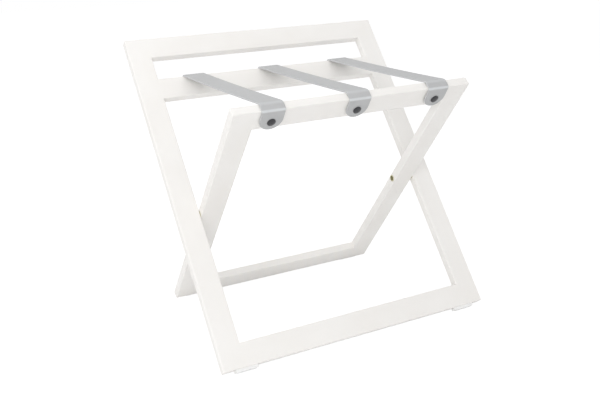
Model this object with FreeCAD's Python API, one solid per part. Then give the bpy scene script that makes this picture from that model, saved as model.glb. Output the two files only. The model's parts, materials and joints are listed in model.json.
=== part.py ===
import FreeCAD, Part
import math
import os

# Folding hotel luggage bench: two flat frames of painted boards cross at a pivot on each side.
# The long outer frame leans back and its upper end is the backrest. The shorter inner frame
# turns between the outer stiles. Three straps tie the inner frame's top rail to the strap rail,
# carry the suitcase and stop the bench from opening further.
#
# +X is to the right, +Y to the back (where the backrest is) and +Z up. The origin is on the floor,
# in the middle of the open bench's outline. All sizes are in millimetres and degrees.

Vector = FreeCAD.Vector

# ---------------------------------------------------------------- driving dimensions

# Boards that both frames are made of
board_width = 47.0
board_thickness = 18.0
edge_round = 2.0
corner_round = 2.5

# Outer frame, measured up the frame from its lower end
outer_width = 600.0
outer_pivot_height = 312.0
strap_rail_top = 618.0
backrest_gap = 51.0
outer_lean = 52.4

# Inner frame, which turns between the outer stiles
side_gap = 1.5
inner_length = 625.0
inner_pivot_height = 320.0

# Dowels in every corner joint, two to a joint
dowel_diameter = 8.0
dowel_length = 40.0
dowel_pitch = 22.0
dowel_chamfer = 1.0
dowel_fit = 0.05
dowel_end_room = 1.0

# Glides on the lower ends
floor_clearance = 1.5
glide_length = 46.0
glide_thickness = 6.0
glide_edge_inset = 2.0
glide_centre_inset = 48.0
glide_corner_round = 3.0
glide_edge_round = 0.8
spigot_diameter = 5.0
spigot_length = 6.0
spigot_pitch = 26.0
spigot_fit = 0.05

# Pivot set: shoulder bolt, bushing with a cup for its head, washer and threaded insert
shoulder_diameter = 8.0
pivot_running_fit = 0.05
bushing_wall = 1.5
bushing_flange_diameter = 14.0
bushing_flange_thickness = 0.8
bushing_fit = 0.02
cup_wall = 1.0
bolt_head_diameter = 10.0
bolt_head_height = 2.6
bolt_head_round = 0.8
bolt_head_sink = 3.0
bolt_head_room = 0.4
bolt_head_clearance = 0.3
hex_across_flats = 5.0
hex_depth = 2.0
bolt_thread_diameter = 6.0
bolt_thread_length = 17.0
thread_fit = 0.05
insert_wall = 2.5
insert_length = 20.0
insert_end_room = 3.0
washer_diameter = 17.0
washer_bore_room = 0.15
washer_clearance = 0.3

# Straps
strap_width = 46.0
strap_thickness = 3.0
strap_side_gap = 6.5
strap_clearance = 0.3
arch_radius = 10.0
tongue_length = 41.5
tongue_flare = 5.0

# Screw and domed cap that hold each strap end
screw_distance = 23.5
screw_diameter = 4.0
screw_depth = 12.0
screw_tip = 3.0
screw_tip_diameter = 1.0
screw_head_diameter = 8.0
screw_head_height = 1.8
screw_hole_room = 0.4
screw_fit = 0.05
cap_diameter = 16.0
cap_rim_height = 1.2
cap_dome_height = 1.8
cap_recess_room = 0.3

# ---------------------------------------------------------------- sizes that follow

half_thickness = board_thickness / 2

# No more than this share of a board's thickness is rounded away at each edge.
rounding_limit = 0.45

# An edge that spans less than this in one direction lies flat in it.
flat = 0.01

opening_half = outer_width / 2 - board_width
inner_width = 2 * (opening_half - side_gap)
outer_length = strap_rail_top + backrest_gap + board_width
wood_rounding = min(edge_round, rounding_limit * board_thickness)
strap_inner_radius = wood_rounding + strap_clearance
bushing_outer = shoulder_diameter / 2 + pivot_running_fit + bushing_wall
cup_bore = bolt_head_diameter / 2 + bolt_head_room
cup_outer = cup_bore + cup_wall
cup_depth = bolt_head_sink + bolt_head_height + bolt_head_clearance
cup_length = cup_depth + bushing_wall
insert_outer = bolt_thread_diameter / 2 + thread_fit + insert_wall

# The pivot's height puts the lower edge of the outer frame just above the floor. The inner frame
# leans forward by the angle that brings its own lower edge to the same height.
outer_angle = math.radians(outer_lean)
pivot_rise = outer_pivot_height * math.sin(outer_angle) + half_thickness * math.cos(outer_angle)
pivot_z = floor_clearance + pivot_rise
inner_reach = math.hypot(inner_pivot_height, half_thickness)
inner_angle = math.asin(pivot_rise / inner_reach) - math.atan2(half_thickness, inner_pivot_height)
inner_lean = math.degrees(inner_angle)


# ---------------------------------------------------------------- helpers

def box(x0, x1, y0, y1, z0, z1):
    """A block between two corners."""
    return Part.makeBox(x1 - x0, y1 - y0, z1 - z0, Vector(x0, y0, z0))


def rod(radius, length, start, direction):
    return Part.makeCylinder(radius, length, start, direction)


def mirrored(shape):
    """The same piece on the bench's left side."""
    return shape.mirror(Vector(0, 0, 0), Vector(1, 0, 0))


def placed(shape, turn):
    """Stands a frame up: turned about the pivot axis, then lifted to the pivot's height.

    Each frame is drawn flat, with the pivot axis at its origin: X across, Y up the frame and Z out
    of the face that looks forward.
    """
    moved = shape.copy()
    moved.rotate(Vector(0, 0, 0), Vector(1, 0, 0), turn)
    moved.translate(Vector(0, 0, pivot_z))
    return moved


outer_turn = outer_lean
inner_turn = 180 - inner_lean


def standing(turn, y, z):
    """Where a point of a flat frame comes to lie in the open bench, at X = 0."""
    angle = math.radians(turn)
    back = y * math.cos(angle) - z * math.sin(angle)
    rise = y * math.sin(angle) + z * math.cos(angle)
    return Vector(0, back, pivot_z + rise)


def frame_blank(width, bottom, top, rails):
    """The whole frame in one piece, with every edge rounded over as it is after gluing up.

    rails holds the lower edge of each crosspiece, from the bottom one to the top one.
    """
    half = width / 2
    blank = box(-half, half, bottom, top, -half_thickness, half_thickness)
    corners = [e for e in blank.Edges if e.BoundBox.ZLength > board_thickness - flat]
    blank = blank.makeFillet(corner_round, corners)
    for lower, upper in zip(rails, rails[1:]):
        blank = blank.cut(box(-half + board_width, half - board_width, lower + board_width, upper,
                              -board_thickness, board_thickness))
    rims = [e for e in blank.Edges if e.BoundBox.ZLength < flat]
    return blank.makeFillet(wood_rounding, rims)


def split_frame(blank, width, bottom, top, rails):
    """Cuts the blank along its glue lines into two stiles and the rails between them."""
    half = width / 2
    joint = half - board_width
    stile_cut = box(joint, half, bottom, top, -board_thickness, board_thickness)
    right_stile = blank.common(stile_cut)
    left_stile = blank.common(mirrored(stile_cut))
    rail_pieces = []
    for lower in rails:
        rail_cut = box(-joint, joint, lower, lower + board_width, -board_thickness, board_thickness)
        rail_pieces.append(blank.common(rail_cut))
    return left_stile, right_stile, rail_pieces


def dowel_places(joint, rails):
    """Middle of every dowel: two to a joint, on both ends of every rail."""
    return [Vector(side * joint, lower + board_width / 2 + row * dowel_pitch / 2, 0)
            for side in (-1, 1) for lower in rails for row in (-1, 1)]


def dowel_hole(middle):
    reach = dowel_length / 2 + dowel_end_room
    return rod(dowel_diameter / 2, 2 * reach, middle - Vector(reach, 0, 0), Vector(1, 0, 0))


def dowel(middle):
    """A beech dowel with chamfered ends."""
    start = middle - Vector(dowel_length / 2, 0, 0)
    pin = rod(dowel_diameter / 2 - dowel_fit, dowel_length, start, Vector(1, 0, 0))
    rims = [e for e in pin.Edges if e.BoundBox.XLength < flat]
    return pin.makeChamfer(dowel_chamfer, rims)


def spigot_places(width, bottom):
    """Mouth of each glide spigot's hole in the right-hand end of a frame."""
    centre = width / 2 - glide_centre_inset
    return [Vector(centre + side * spigot_pitch / 2, bottom, 0) for side in (-1, 1)]


def glide(width, bottom):
    """A moulded pad under the right-hand end of a frame, pressed in by two spigots."""
    centre = width / 2 - glide_centre_inset
    half_depth = half_thickness - glide_edge_inset
    pad = box(centre - glide_length / 2, centre + glide_length / 2, bottom - glide_thickness, bottom,
              -half_depth, half_depth)
    lower_corners = [e for e in pad.Edges
                     if e.BoundBox.ZLength > half_depth and e.BoundBox.YMax < bottom - glide_thickness / 2]
    pad = pad.makeFillet(glide_corner_round, lower_corners)
    rims = [e for e in pad.Edges
            if e.BoundBox.ZLength < flat and e.BoundBox.YMin < bottom - flat]
    pad = pad.makeFillet(glide_edge_round, rims)
    for mouth in spigot_places(width, bottom):
        start = mouth - Vector(0, glide_thickness / 2, 0)
        pad = pad.fuse(rod(spigot_diameter / 2, spigot_length + glide_thickness / 2, start, Vector(0, 1, 0)))
    return pad.removeSplitter()


def spigot_hole(mouth):
    return rod(spigot_diameter / 2 + spigot_fit, spigot_length + spigot_fit, mouth, Vector(0, 1, 0))


def cut_to_floor(shape):
    """Levels a glide's underside, so that it stands flat on the floor when the bench is open."""
    reach = outer_width
    return shape.cut(box(-reach, reach, -reach, reach, -reach, 0))


def build_frame(width, bottom, top, rails, turn, pivot_hole):
    """Both stiles, the rails, the dowels and the two glides of one frame, standing in place."""
    blank = frame_blank(width, bottom, top, rails)
    left_stile, right_stile, rail_pieces = split_frame(blank, width, bottom, top, rails)
    places = dowel_places(width / 2 - board_width, rails)
    bores = [dowel_hole(middle) for middle in places]
    for mouth in spigot_places(width, bottom):
        bores.append(spigot_hole(mouth))
        bores.append(mirrored(spigot_hole(mouth)))
    bores.append(pivot_hole)
    bores.append(mirrored(pivot_hole))
    wood = [piece.cut(bores) for piece in [left_stile, right_stile] + rail_pieces]
    dowels = Part.makeCompound([dowel(middle) for middle in places])
    right_glide = cut_to_floor(placed(glide(width, bottom), turn))
    return [placed(piece, turn) for piece in wood], placed(dowels, turn), mirrored(right_glide), right_glide


# ---------------------------------------------------------------- pivot set, right-hand side

outer_face = opening_half
inner_outer_face = inner_width / 2
inner_inner_face = inner_outer_face - board_width
along = Vector(1, 0, 0)


def at(x):
    return Vector(x, 0, 0)


def pivot_bushing():
    """Flanged brass tube that lines the inner stile. Its inner end widens to a cup for the bolt's head."""
    flange_start = inner_inner_face - bushing_flange_thickness
    tube = rod(bushing_outer, board_width, at(inner_inner_face), along)
    cup = rod(cup_outer, cup_length, at(inner_inner_face), along)
    flange = rod(bushing_flange_diameter / 2, bushing_flange_thickness, at(flange_start), along)
    bore = rod(shoulder_diameter / 2 + pivot_running_fit, board_width, at(inner_inner_face), along)
    mouth = rod(cup_bore, cup_depth + bushing_flange_thickness, at(flange_start), along)
    return tube.fuse([cup, flange]).cut([bore, mouth]).removeSplitter()


def hex_socket(x):
    """Hexagonal recess that opens towards the middle of the bench at x."""
    radius = hex_across_flats / math.sqrt(3)
    corners = []
    for degrees in range(0, 361, 60):
        angle = math.radians(degrees)
        corners.append(Vector(x, radius * math.cos(angle), radius * math.sin(angle)))
    return Part.Face(Part.makePolygon(corners)).extrude(along * hex_depth)


def pivot_bolt():
    """Shoulder bolt, sunk in the bushing's cup. The inner frame turns on its shoulder, and its thread
    ends in the outer stile."""
    head_start = inner_inner_face + bolt_head_sink
    head_seat = head_start + bolt_head_height
    head = rod(bolt_head_diameter / 2, bolt_head_height, at(head_start), along)
    rim = [e for e in head.Edges if e.BoundBox.XMax < head_start + flat]
    head = head.makeFillet(bolt_head_round, rim)
    shoulder = rod(shoulder_diameter / 2, outer_face - head_seat, at(head_seat), along)
    thread = rod(bolt_thread_diameter / 2, bolt_thread_length, at(outer_face), along)
    return head.fuse([shoulder, thread]).cut(hex_socket(head_start)).removeSplitter()


def pivot_washer():
    """Brass washer that keeps the painted stiles apart."""
    thickness = side_gap - washer_clearance
    start = at(outer_face - thickness)
    disc = rod(washer_diameter / 2, thickness, start, along)
    return disc.cut(rod(shoulder_diameter / 2 + washer_bore_room, thickness, start, along))


def pivot_insert():
    """Threaded brass insert in the outer stile's inner edge."""
    body = rod(insert_outer, insert_length, at(outer_face), along)
    return body.cut(rod(bolt_thread_diameter / 2 + thread_fit, insert_length, at(outer_face), along))


cup_hole = rod(cup_outer + bushing_fit, cup_length + bushing_fit, at(inner_inner_face), along)
inner_pivot_hole = cup_hole.fuse(rod(bushing_outer + bushing_fit, board_width, at(inner_inner_face), along))
outer_pivot_hole = rod(insert_outer + bushing_fit, insert_length + insert_end_room, at(outer_face), along)

# ---------------------------------------------------------------- the two frames

outer_bottom = -outer_pivot_height
outer_top = outer_length - outer_pivot_height
strap_rail_upper_edge = strap_rail_top - outer_pivot_height
outer_rails = [outer_bottom, strap_rail_upper_edge - board_width, outer_top - board_width]
outer_wood, outer_dowels, outer_glide_left, outer_glide_right = build_frame(
    outer_width, outer_bottom, outer_top, outer_rails, outer_turn, outer_pivot_hole)
outer_left_stile, outer_right_stile, outer_foot_rail, strap_rail, backrest_rail = outer_wood

inner_bottom = -inner_pivot_height
inner_top = inner_length - inner_pivot_height
inner_rails = [inner_bottom, inner_top - board_width]
inner_wood, inner_dowels, inner_glide_left, inner_glide_right = build_frame(
    inner_width, inner_bottom, inner_top, inner_rails, inner_turn, inner_pivot_hole)
inner_left_stile, inner_right_stile, inner_foot_rail, seat_rail = inner_wood

# ---------------------------------------------------------------- straps

# A strap runs like a belt over four rounded board edges: the front and back edges of the seat rail's
# top, then the front and back edges of the strap rail's top. These are the middles of the roundings.
edge_offset = half_thickness - wood_rounding
seat_rail_level = inner_top - wood_rounding
strap_rail_level = strap_rail_upper_edge - wood_rounding
seat_front_edge = standing(inner_turn, seat_rail_level, edge_offset)
seat_back_edge = standing(inner_turn, seat_rail_level, -edge_offset)
strap_rail_front_edge = standing(outer_turn, strap_rail_level, edge_offset)
strap_rail_back_edge = standing(outer_turn, strap_rail_level, -edge_offset)


def turned(vector, degrees):
    """A direction in the side view, turned counter-clockwise as seen from the right-hand side."""
    angle = math.radians(degrees)
    return Vector(0, vector.y * math.cos(angle) - vector.z * math.sin(angle),
                  vector.y * math.sin(angle) + vector.z * math.cos(angle))


# The strap hugs three of the edges. It is too stiff to fold down over the seat rail's back edge,
# so it only touches that one and arches over the rail's top in a wider bend.
span_heading = (strap_rail_front_edge - seat_back_edge).normalize()
arch_drop = turned(span_heading, -90) * (arch_radius - strap_inner_radius)
bends = [seat_front_edge, seat_back_edge + arch_drop, strap_rail_front_edge, strap_rail_back_edge]
bend_radii = [strap_inner_radius, arch_radius, strap_inner_radius, strap_inner_radius]


def straight_run(first, second):
    """Direction of the straight stretch that touches two bends one after the other."""
    run = bends[second] - bends[first]
    growth = bend_radii[second] - bend_radii[first]
    return turned(run, math.degrees(math.asin(growth / run.Length))).normalize()


# Which way the strap heads along each straight stretch: up the front tongue, over the seat rail,
# across to the strap rail, over its top and down the back tongue.
up_inner_frame = standing(inner_turn, 1, 0) - standing(inner_turn, 0, 0)
down_outer_frame = standing(outer_turn, 0, 0) - standing(outer_turn, 1, 0)
headings = [turned(up_inner_frame, -tongue_flare), straight_run(0, 1), straight_run(1, 2),
            straight_run(2, 3), turned(down_outer_frame, tongue_flare)]
outward = [turned(heading, 90) for heading in headings]


def strap_line(height):
    """Side view of the strap at a height above its wood side: straight stretches joined by arcs."""
    edges = []
    last_point = bends[0] + outward[0] * (bend_radii[0] + height) - headings[0] * tongue_length
    for bend, bend_radius, before, after in zip(bends, bend_radii, outward, outward[1:]):
        radius = bend_radius + height
        arc_start = bend + before * radius
        arc_middle = bend + (before + after).normalize() * radius
        arc_end = bend + after * radius
        edges.append(Part.LineSegment(last_point, arc_start).toShape())
        edges.append(Part.Arc(arc_start, arc_middle, arc_end).toShape())
        last_point = arc_end
    tail = last_point + headings[-1] * tongue_length
    edges.append(Part.LineSegment(last_point, tail).toShape())
    return edges


def strap_band(centre_x):
    """The strap at its full width, with square ends."""
    inner = Part.Wire(strap_line(0))
    outer = Part.Wire(strap_line(strap_thickness))
    start_cap = Part.LineSegment(inner.OrderedVertexes[0].Point, outer.OrderedVertexes[0].Point).toShape()
    end_cap = Part.LineSegment(inner.OrderedVertexes[-1].Point, outer.OrderedVertexes[-1].Point).toShape()
    outline = Part.Wire(Part.__sortEdges__(inner.Edges + outer.Edges + [start_cap, end_cap]))
    band = Part.Face(outline).extrude(along * strap_width)
    band.translate(Vector(centre_x - strap_width / 2, 0, 0))
    return band


class StrapEnd:
    """One end of a strap: where its screw sits and which way the screw points."""

    def __init__(self, bend, down, out):
        self.down = down
        self.out = out
        self.root = bend + out * strap_inner_radius

    def point(self, centre_x, distance, height):
        """A point on the middle of the tongue, height above the strap's wood side."""
        return self.root + self.down * distance + self.out * height + Vector(centre_x, 0, 0)


front_end = StrapEnd(bends[0], headings[0] * -1, outward[0])
rear_end = StrapEnd(bends[-1], headings[-1], outward[-1])


# Cutters reach from one strap thickness below a tongue to one above it.
cutter_start = -strap_thickness
cutter_height = 3 * strap_thickness


def round_tip(band, end, centre_x):
    """Rounds a tongue to a half circle as wide as the strap."""
    radius = strap_width / 2
    middle = end.point(centre_x, tongue_length - radius, cutter_start)
    keep = rod(radius, cutter_height, middle, end.out)
    corner = middle - Vector(strap_width, 0, 0)
    waste = Part.makePolygon([corner, corner + Vector(2 * strap_width, 0, 0),
                              corner + Vector(2 * strap_width, 0, 0) + end.down * strap_width,
                              corner + end.down * strap_width, corner])
    waste = Part.Face(waste).extrude(end.out * cutter_height)
    return band.cut(waste.cut(keep))


def strap(centre_x):
    band = strap_band(centre_x)
    for end in (front_end, rear_end):
        band = round_tip(band, end, centre_x)
        hole_start = end.point(centre_x, screw_distance, cutter_start)
        hole = rod(screw_diameter / 2 + screw_hole_room, cutter_height, hole_start, end.out)
        band = band.cut(hole)
    return band


# The strap stands off the wood a little where the flared tongue passes over the screw.
stand_off = screw_distance * math.sin(math.radians(tongue_flare)) + strap_clearance
screw_shank = strap_thickness + strap_clearance + stand_off + screw_depth


def screw_pieces(end, centre_x):
    """A wood screw with a flat round head and a pointed tip."""
    seat = end.point(centre_x, screw_distance, strap_thickness + strap_clearance)
    inward = end.out * -1
    head = rod(screw_head_diameter / 2, screw_head_height, seat, end.out)
    shank = rod(screw_diameter / 2, screw_shank - screw_tip, seat, inward)
    tip = Part.makeCone(screw_diameter / 2, screw_tip_diameter / 2, screw_tip,
                        seat + inward * (screw_shank - screw_tip), inward)
    return head.fuse([shank, tip]).removeSplitter()


def screw_bore(end, centre_x):
    """Pilot hole in the rail, a little deeper than the screw."""
    seat = end.point(centre_x, screw_distance, 0)
    length = screw_shank - strap_thickness - strap_clearance + screw_fit
    return rod(screw_diameter / 2 + screw_fit, length, seat, end.out * -1)


def screw_cap(end, centre_x):
    """Domed cap over the screw's head, hollow underneath."""
    seat = end.point(centre_x, screw_distance, strap_thickness + strap_clearance)
    radius = cap_diameter / 2
    profile = [Part.LineSegment(Vector(0, 0, 0), Vector(radius, 0, 0)).toShape(),
               Part.LineSegment(Vector(radius, 0, 0), Vector(radius, 0, cap_rim_height)).toShape()]
    dome_radius = (radius ** 2 + cap_dome_height ** 2) / (2 * cap_dome_height)
    dome_middle = Vector(radius / 2, 0, cap_rim_height + cap_dome_height - dome_radius
                         + math.sqrt(dome_radius ** 2 - (radius / 2) ** 2))
    crown = Vector(0, 0, cap_rim_height + cap_dome_height)
    profile.append(Part.Arc(Vector(radius, 0, cap_rim_height), dome_middle, crown).toShape())
    profile.append(Part.LineSegment(crown, Vector(0, 0, 0)).toShape())
    dome = Part.Face(Part.Wire(profile)).revolve(Vector(0, 0, 0), Vector(0, 0, 1), 360)
    recess = rod(screw_head_diameter / 2 + cap_recess_room, screw_head_height + cap_recess_room,
                 Vector(0, 0, 0), Vector(0, 0, 1))
    cap = dome.cut(recess)
    cap.Placement = FreeCAD.Placement(seat, FreeCAD.Rotation(Vector(0, 0, 1), end.out))
    return cap


# The outer straps lie just inside the inner frame's stiles, the third one halfway between them.
strap_spacing = inner_inner_face - strap_side_gap - strap_width / 2
strap_centres = [-strap_spacing, 0, strap_spacing]
strap_names = ["strap_left", "strap_middle", "strap_right"]
seat_rail = seat_rail.cut([screw_bore(front_end, x) for x in strap_centres])
strap_rail = strap_rail.cut([screw_bore(rear_end, x) for x in strap_centres])

# ---------------------------------------------------------------- nodes

nodes = {
    "outer_left_stile": outer_left_stile,
    "outer_right_stile": outer_right_stile,
    "outer_foot_rail": outer_foot_rail,
    "strap_rail": strap_rail,
    "backrest_rail": backrest_rail,
    "outer_dowels": outer_dowels,
    "outer_glide_left": outer_glide_left,
    "outer_glide_right": outer_glide_right,
    "inner_left_stile": inner_left_stile,
    "inner_right_stile": inner_right_stile,
    "inner_foot_rail": inner_foot_rail,
    "seat_rail": seat_rail,
    "inner_dowels": inner_dowels,
    "inner_glide_left": inner_glide_left,
    "inner_glide_right": inner_glide_right,
}

pivot_pieces = {"pivot_bolt": pivot_bolt, "pivot_bushing": pivot_bushing,
                "pivot_washer": pivot_washer, "pivot_insert": pivot_insert}
for name, make in pivot_pieces.items():
    piece = placed(make(), 0)
    nodes[name + "_right"] = piece
    nodes[name + "_left"] = mirrored(piece)

for name, centre_x in zip(strap_names, strap_centres):
    nodes[name] = strap(centre_x)
for name, end in (("front", front_end), ("rear", rear_end)):
    nodes[name + "_strap_screws"] = Part.makeCompound([screw_pieces(end, x) for x in strap_centres])
    nodes[name + "_strap_caps"] = Part.makeCompound([screw_cap(end, x) for x in strap_centres])

# The bench is drawn about its pivot axis, then moved so that the origin is in the middle of its outline.
outline = Part.makeCompound(list(nodes.values())).optimalBoundingBox(False, False)
to_middle = Vector(0, -(outline.YMin + outline.YMax) / 2, 0)

os.makedirs("parts", exist_ok=True)
for name, shape in nodes.items():
    shape.translate(to_middle)
    shape.exportStep(os.path.join("parts", name + ".step"))

print("pivot axis at y %.3f, z %.3f" % (to_middle.y, pivot_z))
print("inner frame leans %.3f degrees" % inner_lean)
print("frames open to %.3f degrees" % (180 - outer_lean - inner_lean))
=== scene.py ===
import json
import math
import bmesh
import bpy
from mathutils import Matrix, Vector


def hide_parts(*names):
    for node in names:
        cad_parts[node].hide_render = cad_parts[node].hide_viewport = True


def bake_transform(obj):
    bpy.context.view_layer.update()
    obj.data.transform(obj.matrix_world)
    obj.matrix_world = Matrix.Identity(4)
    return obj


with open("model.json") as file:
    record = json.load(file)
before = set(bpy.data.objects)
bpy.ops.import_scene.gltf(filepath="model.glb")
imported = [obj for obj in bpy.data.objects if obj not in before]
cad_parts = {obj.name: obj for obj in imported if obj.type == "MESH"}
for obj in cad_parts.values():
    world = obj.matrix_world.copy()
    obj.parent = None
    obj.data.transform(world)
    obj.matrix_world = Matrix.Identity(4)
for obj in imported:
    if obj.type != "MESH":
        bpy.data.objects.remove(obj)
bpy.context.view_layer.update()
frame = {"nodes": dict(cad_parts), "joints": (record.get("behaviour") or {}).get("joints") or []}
nodes = frame["nodes"]
scene = bpy.context.scene

# ---------------------------------------------------------------- camera
# A normal lens stands a little above the straps, to the left of the bench's front. It looks down
# at the bench and is rolled by about two degrees.

camera_place = Vector((-0.7700, -1.4645, 0.7437))
camera_heading = math.radians(27.286)
camera_tilt_down = math.radians(17.111)
camera_roll = math.radians(-2.307)
lens_mm = 48.53
sensor_mm = 36.0
nearest_seen = 0.01
farthest_seen = 100

camera_data = bpy.data.cameras.new("view")
camera_data.lens = lens_mm
camera_data.sensor_width = sensor_mm
camera_data.clip_start = nearest_seen
camera_data.clip_end = farthest_seen
camera = bpy.data.objects.new("view", camera_data)
scene.collection.objects.link(camera)
heading_turn = Matrix.Rotation(-camera_heading, 4, "Z")
tilt_turn = Matrix.Rotation(math.pi / 2 - camera_tilt_down, 4, "X")
roll_turn = Matrix.Rotation(camera_roll, 4, "Z")
camera.matrix_world = Matrix.Translation(camera_place) @ heading_turn @ tilt_turn @ roll_turn
scene.camera = camera

# ---------------------------------------------------------------- floor and light
# A white studio floor that runs out to a white surround. Six large soft boxes stand round the
# bench, and the surround fills the shadows.

scene.view_settings.view_transform = "Standard"


def link(tree, source, target):
    tree.links.new(source, target)


def shows_white(tree):
    """1 for what the camera, a glossy surface or a clear one sees, 0 for light on other things."""
    path = tree.nodes.new("ShaderNodeLightPath")
    first = tree.nodes.new("ShaderNodeMath")
    first.operation = "MAXIMUM"
    link(tree, path.outputs["Is Camera Ray"], first.inputs[0])
    link(tree, path.outputs["Is Glossy Ray"], first.inputs[1])
    second = tree.nodes.new("ShaderNodeMath")
    second.operation = "MAXIMUM"
    link(tree, first.outputs[0], second.inputs[0])
    link(tree, path.outputs["Is Transmission Ray"], second.inputs[1])
    return second.outputs[0]


pure_white = (1, 1, 1, 1)
surround_strength = 0.5
seen_strength = 1.0
world = bpy.data.worlds.new("surround")
world.use_nodes = True
scene.world = world
tree = world.node_tree
background = tree.nodes["Background"]
background.inputs["Color"].default_value = pure_white
background.inputs["Strength"].default_value = surround_strength
seen = tree.nodes.new("ShaderNodeBackground")
seen.inputs["Color"].default_value = pure_white
seen.inputs["Strength"].default_value = seen_strength
mix = tree.nodes.new("ShaderNodeMixShader")
link(tree, shows_white(tree), mix.inputs["Fac"])
link(tree, background.outputs["Background"], mix.inputs[1])
link(tree, seen.outputs["Background"], mix.inputs[2])
link(tree, mix.outputs["Shader"], tree.nodes["World Output"].inputs["Surface"])

# The floor is seen as an even glow with a small share of the shade that falls on it, so it stays
# white up to the surround.
floor_size = 24.0
floor_white = (0.90, 0.90, 0.90, 1)
floor_glow = 1.21
shade_share = 0.25
half = floor_size / 2
corners = [(-half, -half, 0), (half, -half, 0), (half, half, 0), (-half, half, 0)]
floor_mesh = bpy.data.meshes.new("floor")
floor_mesh.from_pydata(corners, [], [(0, 1, 2, 3)])
floor = bpy.data.objects.new("floor", floor_mesh)
scene.collection.objects.link(floor)
floor_material = bpy.data.materials.new("white floor")
floor_material.use_nodes = True
tree = floor_material.node_tree
paper = tree.nodes["Principled BSDF"]
paper.inputs["Base Color"].default_value = floor_white
paper.inputs["Roughness"].default_value = 0.9
paper.inputs["Specular IOR Level"].default_value = 0.0
glow = tree.nodes.new("ShaderNodeEmission")
glow.inputs["Color"].default_value = pure_white
glow.inputs["Strength"].default_value = floor_glow
share = tree.nodes.new("ShaderNodeMath")
share.operation = "MULTIPLY"
share.inputs[1].default_value = 1 - shade_share
link(tree, shows_white(tree), share.inputs[0])
mix = tree.nodes.new("ShaderNodeMixShader")
link(tree, share.outputs[0], mix.inputs["Fac"])
link(tree, paper.outputs["BSDF"], mix.inputs[1])
link(tree, glow.outputs["Emission"], mix.inputs[2])
link(tree, mix.outputs["Shader"], tree.nodes["Material Output"].inputs["Surface"])
floor_mesh.materials.append(floor_material)

# Each soft box is square and points at the bench's middle: its name, place, side in metres and
# power in watts.
bench_middle = Vector((0, 0, 0.3))
soft_boxes = (
    ("overhead", (0.0, 0.1, 2.6), 2.4, 12.3),
    ("front_left", (-2.0, -2.2, 1.9), 1.8, 24.6),
    ("front_low_left", (-1.6, -2.5, 0.45), 1.6, 16.5),
    ("left_high", (-1.9, 0.3, 2.2), 1.8, 11.3),
    ("right", (2.4, -0.9, 1.4), 1.6, 5.7),
    ("back_high", (0.0, 2.4, 1.9), 1.8, 8.8),
)
for name, place, side_length, power in soft_boxes:
    lamp_data = bpy.data.lights.new(name, "AREA")
    lamp_data.shape = "SQUARE"
    lamp_data.size = side_length
    lamp_data.energy = power
    lamp = bpy.data.objects.new(name, lamp_data)
    scene.collection.objects.link(lamp)
    lamp.location = place
    lamp.rotation_mode = "QUATERNION"
    lamp.rotation_quaternion = (bench_middle - Vector(place)).to_track_quat("-Z", "Y")

# ---------------------------------------------------------------- painted boards
# The frames are beech boards, sprayed with a satin white lacquer after gluing. The lacquer covers
# the joints. It has a fine orange peel and follows the wood's pores a little along the grain.


def material_tree(name):
    """A new material with its node tree and its main shader."""
    material = bpy.data.materials.new(name)
    material.use_nodes = True
    return material, material.node_tree, material.node_tree.nodes["Principled BSDF"]


def object_place(tree, turn=(0, 0, 0), stretch=(1, 1, 1)):
    """The place on the piece in metres, turned and stretched for a pattern that runs one way."""
    place = tree.nodes.new("ShaderNodeTexCoord")
    turning = tree.nodes.new("ShaderNodeMapping")
    turning.inputs["Rotation"].default_value = turn
    scaling = tree.nodes.new("ShaderNodeMapping")
    scaling.inputs["Scale"].default_value = stretch
    link(tree, place.outputs["Object"], turning.inputs["Vector"])
    link(tree, turning.outputs["Vector"], scaling.inputs["Vector"])
    return scaling.outputs["Vector"]


def noise(tree, vector, per_metre, detail=2.0, roughness=0.5):
    """A cloudy pattern from 0 to 1 with a given number of patches to the metre."""
    node = tree.nodes.new("ShaderNodeTexNoise")
    node.inputs["Scale"].default_value = per_metre
    node.inputs["Detail"].default_value = detail
    node.inputs["Roughness"].default_value = roughness
    link(tree, vector, node.inputs["Vector"])
    return node.outputs["Fac"]


def spread(tree, value, low, high, to_low=0.0, to_high=1.0):
    """Maps low..high of a value to to_low..to_high."""
    node = tree.nodes.new("ShaderNodeMapRange")
    node.inputs["From Min"].default_value = low
    node.inputs["From Max"].default_value = high
    node.inputs["To Min"].default_value = to_low
    node.inputs["To Max"].default_value = to_high
    link(tree, value, node.inputs["Value"])
    return node.outputs["Result"]


def two_colours(tree, value, first, second):
    """Goes from the first colour to the second as a value goes from 0 to 1."""
    node = tree.nodes.new("ShaderNodeMix")
    node.data_type = "RGBA"
    node.inputs["A"].default_value = (*first, 1)
    node.inputs["B"].default_value = (*second, 1)
    link(tree, value, node.inputs["Factor"])
    return node.outputs["Result"]


def bump(tree, height, depth_mm, below=None):
    """Relief of a given depth, on top of another one if there is one."""
    node = tree.nodes.new("ShaderNodeBump")
    node.inputs["Distance"].default_value = depth_mm / 1000
    node.inputs["Strength"].default_value = 1.0
    link(tree, height, node.inputs["Height"])
    if below is not None:
        link(tree, below, node.inputs["Normal"])
    return node.outputs["Normal"]


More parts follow.
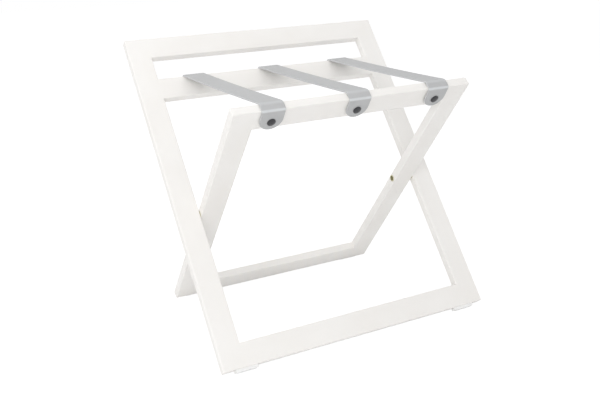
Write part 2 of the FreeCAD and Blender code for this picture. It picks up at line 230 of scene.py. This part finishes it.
def lacquer(name, grain_turn, lengthwise):
    """Satin white lacquer. The grain runs along the texture's lengthwise axis after the turn."""
    white = (0.909, 0.893, 0.869)
    warmer_white = (0.886, 0.864, 0.834)
    grain_squeeze = 0.035
    along = tuple(grain_squeeze if axis == lengthwise else 1 for axis in "XYZ")
    material, tree, shader = material_tree(name)
    plain = object_place(tree)
    grain = object_place(tree, grain_turn, along)
    cloudy = noise(tree, plain, per_metre=9, detail=3)
    pores = noise(tree, grain, per_metre=620)
    tone = two_colours(tree, spread(tree, cloudy, 0.35, 0.7), white, warmer_white)
    link(tree, tone, shader.inputs["Base Color"])
    sheen = spread(tree, cloudy, 0.3, 0.7, to_low=0.40, to_high=0.50)
    link(tree, sheen, shader.inputs["Roughness"])
    peel = bump(tree, noise(tree, plain, per_metre=520), depth_mm=0.014)
    relief = bump(tree, spread(tree, pores, 0.38, 0.66), depth_mm=0.010, below=peel)
    link(tree, relief, shader.inputs["Normal"])
    shader.inputs["IOR"].default_value = 1.48
    return material


def finish_node(name, material):
    """Gives a CAD piece its finish."""
    piece = nodes[name]
    piece.data.materials.clear()
    piece.data.materials.append(material)


outer_lean = math.radians(52.4)
inner_lean = math.radians(50.512)
rail_lacquer = lacquer("lacquer on rails", (0, 0, 0), "X")
outer_stile_lacquer = lacquer("lacquer on outer stiles", (-outer_lean, 0, 0), "Y")
inner_stile_lacquer = lacquer("lacquer on inner stiles", (inner_lean, 0, 0), "Y")
for side in ("left", "right"):
    finish_node("outer_" + side + "_stile", outer_stile_lacquer)
    finish_node("inner_" + side + "_stile", inner_stile_lacquer)
for name in ("outer_foot_rail", "strap_rail", "backrest_rail", "inner_foot_rail", "seat_rail"):
    finish_node(name, rail_lacquer)

# ---------------------------------------------------------------- dowels
# Beech dowels lie hidden in the corner joints, glued in before the frames are painted. They are
# bare wood, with fine dark flecks along the grain.

pale_beech = (0.640, 0.440, 0.260)
dark_beech = (0.480, 0.300, 0.160)
fleck_squeeze = (0.05, 1, 1)
beech, tree, shader = material_tree("bare beech")
grain = object_place(tree, stretch=fleck_squeeze)
flecks = noise(tree, grain, per_metre=900, detail=4, roughness=0.6)
tone = two_colours(tree, spread(tree, flecks, 0.4, 0.65), pale_beech, dark_beech)
link(tree, tone, shader.inputs["Base Color"])
link(tree, bump(tree, flecks, depth_mm=0.05), shader.inputs["Normal"])
shader.inputs["Roughness"].default_value = 0.7
for name in ("outer_dowels", "inner_dowels"):
    finish_node(name, beech)

# ---------------------------------------------------------------- glides
# Pads of white moulded plastic are pressed into the frames' lower edges. Their skin is finely
# grained, and it is duller where it has rubbed on floors.

clean_white = (0.900, 0.900, 0.892)
rubbed_white = (0.800, 0.796, 0.780)
glide_plastic, tree, shader = material_tree("white glide plastic")
plain = object_place(tree)
rubs = noise(tree, plain, per_metre=160, detail=4, roughness=0.6)
tone = two_colours(tree, spread(tree, rubs, 0.5, 0.75), clean_white, rubbed_white)
link(tree, tone, shader.inputs["Base Color"])
skin = noise(tree, plain, per_metre=1800)
link(tree, bump(tree, skin, depth_mm=0.03), shader.inputs["Normal"])
shader.inputs["Roughness"].default_value = 0.55
for name in ("outer_glide_left", "outer_glide_right", "inner_glide_left", "inner_glide_right"):
    finish_node(name, glide_plastic)

# ---------------------------------------------------------------- pivot hardware
# Turned brass bushings, washers and inserts, and shoulder bolts plated in antique bronze. Turning
# leaves fine rings round the pivot axis, and handling dulls the brass in patches.


def turned_metal(name, bright, dull, rough_low, rough_high):
    """Metal with fine turned rings round the X axis, duller and rougher in patches."""
    ring_squeeze = (1, 0.15, 0.15)
    material, tree, shader = material_tree(name)
    plain = object_place(tree)
    patches = noise(tree, plain, per_metre=420, detail=4, roughness=0.6)
    rings = noise(tree, object_place(tree, stretch=ring_squeeze), per_metre=5200)
    tone = two_colours(tree, spread(tree, patches, 0.4, 0.68), bright, dull)
    link(tree, tone, shader.inputs["Base Color"])
    sheen = spread(tree, patches, 0.35, 0.7, rough_low, rough_high)
    link(tree, sheen, shader.inputs["Roughness"])
    link(tree, bump(tree, rings, depth_mm=0.008), shader.inputs["Normal"])
    shader.inputs["Metallic"].default_value = 1.0
    return material


bright_brass = (0.660, 0.630, 0.450)
dull_brass = (0.540, 0.510, 0.350)
bright_bronze = (0.410, 0.400, 0.300)
dull_bronze = (0.300, 0.290, 0.210)
brass = turned_metal("satin brass", bright_brass, dull_brass, rough_low=0.34, rough_high=0.48)
bronze = turned_metal("bronze plating", bright_bronze, dull_bronze, rough_low=0.38, rough_high=0.55)
for side in ("left", "right"):
    finish_node("pivot_bolt_" + side, bronze)
    for name in ("pivot_bushing_", "pivot_washer_", "pivot_insert_"):
        finish_node(name + side, brass)

# ---------------------------------------------------------------- strap screws and caps
# Zinc plated wood screws hold the strap ends. Black domed caps of moulded plastic snap over
# their heads.

bright_zinc = (0.560, 0.565, 0.580)
dull_zinc = (0.450, 0.455, 0.470)
deep_black = (0.022, 0.022, 0.026)
soft_black = (0.034, 0.034, 0.039)
zinc = turned_metal("zinc plating", bright_zinc, dull_zinc, rough_low=0.30, rough_high=0.45)
cap_plastic, tree, shader = material_tree("black cap plastic")
plain = object_place(tree)
cloudy = noise(tree, plain, per_metre=500, detail=3)
tone = two_colours(tree, spread(tree, cloudy, 0.3, 0.7), deep_black, soft_black)
link(tree, tone, shader.inputs["Base Color"])
sheen = spread(tree, cloudy, 0.3, 0.7, to_low=0.32, to_high=0.44)
link(tree, sheen, shader.inputs["Roughness"])
skin = noise(tree, plain, per_metre=2600)
link(tree, bump(tree, skin, depth_mm=0.012), shader.inputs["Normal"])
for end in ("front", "rear"):
    finish_node(end + "_strap_screws", zinc)
    finish_node(end + "_strap_caps", cap_plastic)

# ---------------------------------------------------------------- straps
# Three straps of grey leather, 46 mm wide and 3 mm thick, are cut with half-round ends, burnished
# round the edges and punched for their screws. Each is screwed to the front of the seat rail and
# the back of the strap rail. It is too stiff to fold down over the seat rail's back edge.

strap_centres = {"left": -0.175, "middle": 0.0, "right": 0.175}
strap_width = 0.046
strap_thickness = 0.003
burnished_round = 0.0007
tongue_length = 0.0415
tongue_flare = math.radians(5)
screw_distance = 0.0235
screw_hole_radius = 0.0024
arch_radius = 0.010
strap_sag = 0.0015
board_thickness = 0.018
board_round = 0.002
wood_clearance = 0.0003
pivot = Vector(frame["joints"][0]["pos_m"])

# The tops of the two rails, as distances from the pivot up each frame.
seat_rail_top = 0.305
strap_rail_top = 0.306


def standing(turn, up, out):
    """Where a point of a frame lies in the open bench: up the frame and out of its front face."""
    back = up * math.cos(turn) - out * math.sin(turn)
    rise = up * math.sin(turn) + out * math.cos(turn)
    return pivot + Vector((0, back, rise))


def turned(vector, angle):
    """A direction in the side view, turned counter-clockwise as seen from the right."""
    return Matrix.Rotation(angle, 3, "X") @ vector


# The strap touches the rounded top edges of both rails, and arches over the seat rail's top. Each
# bend has a middle and a radius on its wood side, and a heading leads into it.
inner_turn = math.pi - inner_lean
edge_offset = board_thickness / 2 - board_round
hug_radius = board_round + wood_clearance
seat_front_edge = standing(inner_turn, seat_rail_top - board_round, edge_offset)
seat_back_edge = standing(inner_turn, seat_rail_top - board_round, -edge_offset)
strap_rail_front_edge = standing(outer_lean, strap_rail_top - board_round, edge_offset)
strap_rail_back_edge = standing(outer_lean, strap_rail_top - board_round, -edge_offset)
span_heading = (strap_rail_front_edge - seat_back_edge).normalized()
arch_drop = turned(span_heading, -math.pi / 2) * (arch_radius - hug_radius)
bends = [(seat_front_edge, hug_radius), (seat_back_edge + arch_drop, arch_radius),
         (strap_rail_front_edge, hug_radius), (strap_rail_back_edge, hug_radius)]
headings = [turned(standing(inner_turn, 1, 0) - pivot, -tongue_flare)]
for (here, radius), (there, next_radius) in zip(bends, bends[1:]):
    run = there - here
    headings.append(turned(run.normalized(), math.asin((next_radius - radius) / run.length)))
headings.append(turned(pivot - standing(outer_lean, 1, 0), tongue_flare))
outward = [turned(heading, math.pi / 2) for heading in headings]

# Stretches of the strap's middle line from the front tip to the rear one: where each begins, its
# length, its first point or its bend's middle, its heading, the outward direction and the radius.
# A straight one leads into each bend, so the span, which follows two bends, is the fifth.
half_thick = strap_thickness / 2
stretches = []
travelled = 0.0
start = bends[0][0] + outward[0] * (bends[0][1] + half_thick) - headings[0] * tongue_length
for k, (centre, radius) in enumerate(bends):
    radius += half_thick
    run = (centre + outward[k] * radius - start).length
    stretches.append((travelled, run, start, headings[k], outward[k], 0))
    travelled += run
    bend = outward[k].angle(outward[k + 1]) * radius
    stretches.append((travelled, bend, centre, headings[k], outward[k], radius))
    travelled += bend
    start = centre + outward[k + 1] * radius
stretches.append((travelled, tongue_length, start, headings[-1], outward[-1], 0))
strap_length = travelled + tongue_length
bends_before_span = 2
span_begin, span_length = stretches[2 * bends_before_span][:2]


def on_strap(distance):
    """A point of the middle line at a distance from the front tip, and the outward direction."""
    rounding = 1e-9
    reached = [stretch for stretch in stretches if stretch[0] < distance + rounding]
    begin, length, place, heading, out, radius = reached[-1]
    along = distance - begin
    if radius:
        out = turned(out, -along / radius)
        return place + out * radius, out
    share = along / length
    sag = 4 * strap_sag * share * (1 - share) if begin == span_begin else 0
    return place + heading * along - Vector((0, 0, sag)), out


def stretch_and_highlight_over_bends(distance):
    """How far the grain side is stretched, and how strong a painted highlight along the bend is: 1
    in the middle of a tight bend, 0 where it is flat.
    """
    for begin, length, *_, radius in stretches:
        if radius and begin < distance < begin + length:
            tightness = (hug_radius + half_thick) / radius
            return math.sin(math.pi * (distance - begin) / length) * tightness
    return 0


def strap_rows():
    """Distances of the rows of points along the straight sides, closer together in the bends."""
    straight_step = 0.006
    bend_steps = 10
    nearest_row = 0.0005
    rows = []
    for begin, length, *_, radius in stretches:
        steps = bend_steps if radius else math.ceil(length / straight_step)
        rows += [begin + length * k / steps for k in range(steps)]
    first = strap_width / 2
    last = strap_length - first
    between = [row for row in rows if first + nearest_row < row < last - nearest_row]
    return [first] + between + [last]


def flat_strap():
    """A strap as it is cut: X across, Y along from the front tip and Z up from its middle."""
    half_width = strap_width / 2
    shoulder_width = 0.0012
    tip_steps = 28
    edge_steps = 4
    hole_steps = 24
    grain_side, edge, flesh_side = 0, 1, 2
    work = bmesh.new()
    rows = strap_rows()

    def outline(inset, height):
        reach = half_width - inset
        arc = [math.pi * k / tip_steps for k in range(tip_steps + 1)]
        places = [(reach * math.cos(a), half_width - reach * math.sin(a)) for a in arc]
        places += [(-reach, row) for row in rows[1:-1]]
        places += [(-reach * math.cos(a), rows[-1] + reach * math.sin(a)) for a in arc]
        places += [(reach, row) for row in reversed(rows[1:-1])]
        return [work.verts.new((x, y, height)) for x, y in places]

    def join(here, there, finish):
        for k in range(len(here)):
            face = work.faces.new((here[k - 1], here[k], there[k], there[k - 1]))
            face.material_index = finish

    def ring_edges(ring):
        pairs = zip(ring, ring[1:] + ring[:1])
        return [work.edges.get(pair) or work.edges.new(pair) for pair in pairs]

    def fill(outer, height, finish):
        """The flat of one side, with a punched hole in each half-round end."""
        for k in range(len(rows) - 1):
            left = tip_steps + k
            face = work.faces.new((outer[left], outer[left + 1], outer[-k - 1], outer[-k]))
            face.material_index = finish
        rear = tip_steps + len(rows) - 1
        front_tip = outer[:tip_steps + 1]
        rear_tip = outer[rear:rear + tip_steps + 1]
        front_screw = tongue_length - screw_distance
        rear_screw = strap_length - tongue_length + screw_distance
        turns = [2 * math.pi * k / hole_steps for k in range(hole_steps)]
        circle = [(screw_hole_radius * math.cos(a), screw_hole_radius * math.sin(a)) for a in turns]
        holes = []
        for tip, screw in ((front_tip, front_screw), (rear_tip, rear_screw)):
            hole = [work.verts.new((x, screw + y, height)) for x, y in circle]
            rings = ring_edges(tip) + ring_edges(hole)
            made = bmesh.ops.triangle_fill(work, use_beauty=True, edges=rings)
            for face in made["geom"]:
                if isinstance(face, bmesh.types.BMFace):
                    face.material_index = finish
            holes.append(hole)
        return holes

    flat_inset = burnished_round + shoulder_width
    profile = [(flat_inset, -half_thick)]
    for side in (-1, 1):
        for k in range(edge_steps + 1):
            degrees = 90 * k / edge_steps
            angle = math.radians(degrees if side > 0 else degrees - 90)
            inset = burnished_round * (1 - math.cos(angle))
            middle = side * (half_thick - burnished_round)
            profile.append((inset, middle + burnished_round * math.sin(angle)))
    profile.append((flat_inset, half_thick))
    loops = [outline(inset, height) for inset, height in profile]

    # The grain side's finish reaches half way down the upper rounding.
    grain_begins = len(loops) - 2 - edge_steps // 2
    for k in range(len(loops) - 1):
        finish = flesh_side if k == 0 else grain_side if k >= grain_begins else edge
        join(loops[k], loops[k + 1], finish)
    lower_holes = fill(loops[0], -half_thick, flesh_side)
    upper_holes = fill(loops[-1], half_thick, grain_side)
    for lower, upper in zip(lower_holes, upper_holes):
        join(lower, upper, edge)
    return work


def strap_piece(name, centre_x, first, last):
    """One length of a strap, cut from the whole flat strap and wrapped over the rails."""
    cut_tolerance = 1e-7
    crease = math.radians(50)
    work = whole_strap.copy()
    for place, drops_front in ((first, True), (last, False)):
        bmesh.ops.bisect_plane(
            work, geom=work.verts[:] + work.edges[:] + work.faces[:], dist=cut_tolerance,
            plane_co=(0, place, 0), plane_no=(0, 1, 0),
            clear_inner=drops_front, clear_outer=not drops_front)
        bmesh.ops.holes_fill(work, edges=[e for e in work.edges if e.is_boundary])
    # The stretch weight also places a painted highlight along each bend of the strap.
    stretch = work.verts.layers.float.new("stretch")
    for vert in work.verts:
        across, along, height = vert.co
        point, out = on_strap(along)
        vert[stretch] = stretch_and_highlight_over_bends(along)
        vert.co = point + out * height + Vector((centre_x + across, 0, 0))
    bmesh.ops.recalc_face_normals(work, faces=work.faces)
    mesh = bpy.data.meshes.new(name)
    work.to_mesh(mesh)
    work.free()
    mesh.polygons.foreach_set("use_smooth", [True] * len(mesh.polygons))
    mesh.set_sharp_from_angle(angle=crease)
    piece = bpy.data.objects.new(name, mesh)
    scene.collection.objects.link(piece)
    return piece


# The grain side is smooth, with a fine pebble. Over each tight bend it goes paler, partly because
# the stretched leather pales and partly as a painted highlight along the bend. The cut edges show
# the leather's paler core, rubbed smooth with wax, and the flesh side is rough.
mid_grey = (0.492, 0.497, 0.503)
light_grey = (0.522, 0.526, 0.531)
# The pale grey mixed in over the bends is partly stretched leather and partly a painted highlight.
stretched_and_highlight_grey = (0.700, 0.720, 0.735, 1)
grain_leather, tree, shader = material_tree("grey leather, grain side")
plain = object_place(tree)
cloudy = noise(tree, plain, per_metre=45, detail=4, roughness=0.55)
tone = two_colours(tree, spread(tree, cloudy, 0.35, 0.7), mid_grey, light_grey)
stretch = tree.nodes.new("ShaderNodeAttribute")
stretch.attribute_name = "stretch"
paler = tree.nodes.new("ShaderNodeMix")
paler.data_type = "RGBA"
paler.inputs["B"].default_value = stretched_and_highlight_grey
link(tree, tone, paler.inputs["A"])
link(tree, stretch.outputs["Fac"], paler.inputs["Factor"])
link(tree, paler.outputs["Result"], shader.inputs["Base Color"])
sheen = spread(tree, cloudy, 0.3, 0.7, to_low=0.50, to_high=0.62)
link(tree, sheen, shader.inputs["Roughness"])
shader.inputs["Specular IOR Level"].default_value = 0.12
pebbles_per_metre = 950
pebbles = tree.nodes.new("ShaderNodeTexVoronoi")
pebbles.feature = "DISTANCE_TO_EDGE"
pebbles.inputs["Scale"].default_value = pebbles_per_metre
link(tree, plain, pebbles.inputs["Vector"])
fine = bump(tree, noise(tree, plain, per_metre=2400, detail=3, roughness=0.6), depth_mm=0.02)
pebble_height = spread(tree, pebbles.outputs["Distance"], 0.0, 0.25)
relief = bump(tree, pebble_height, depth_mm=0.035, below=fine)
link(tree, relief, shader.inputs["Normal"])

core_grey = (0.520, 0.528, 0.538)
pale_core_grey = (0.580, 0.588, 0.598)
wax_squeeze = (1, 0.2, 1)
edge_leather, tree, shader = material_tree("grey leather, burnished edge")
wax = noise(tree, object_place(tree, stretch=wax_squeeze), per_metre=700, detail=3)
tone = two_colours(tree, spread(tree, wax, 0.3, 0.7), core_grey, pale_core_grey)
link(tree, tone, shader.inputs["Base Color"])
link(tree, bump(tree, wax, depth_mm=0.012), shader.inputs["Normal"])
shader.inputs["Roughness"].default_value = 0.48

dark_fibre = (0.340, 0.340, 0.338)
light_fibre = (0.430, 0.430, 0.425)
flesh_leather, tree, shader = material_tree("grey leather, flesh side")
fibres = noise(tree, object_place(tree), per_metre=1300, detail=5, roughness=0.7)
tone = two_colours(tree, spread(tree, fibres, 0.35, 0.65), dark_fibre, light_fibre)
link(tree, tone, shader.inputs["Base Color"])
link(tree, bump(tree, fibres, depth_mm=0.12), shader.inputs["Normal"])
shader.inputs["Roughness"].default_value = 0.9

# A strap hangs down between the rails when the bench folds, and most of its bending is near the
# rails. So its mesh is in three lengths, cut across the strap near each rail.
end_stretch = 0.050
before_front_tip = -strap_width
first_break = span_begin + end_stretch
last_break = span_begin + span_length - end_stretch
past_rear_tip = strap_length + strap_width
whole_strap = flat_strap()
for side, centre_x in strap_centres.items():
    node = "strap_" + side
    front = strap_piece(node + "_front_end", centre_x, before_front_tip, first_break)
    middle = strap_piece(node + "_span", centre_x, first_break, last_break)
    rear = strap_piece(node + "_rear_end", centre_x, last_break, past_rear_tip)
    for piece in (front, middle, rear):
        for finish in (grain_leather, edge_leather, flesh_leather):
            piece.data.materials.append(finish)
        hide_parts(node)
    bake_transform(front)
    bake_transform(middle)
    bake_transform(rear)
whole_strap.free()
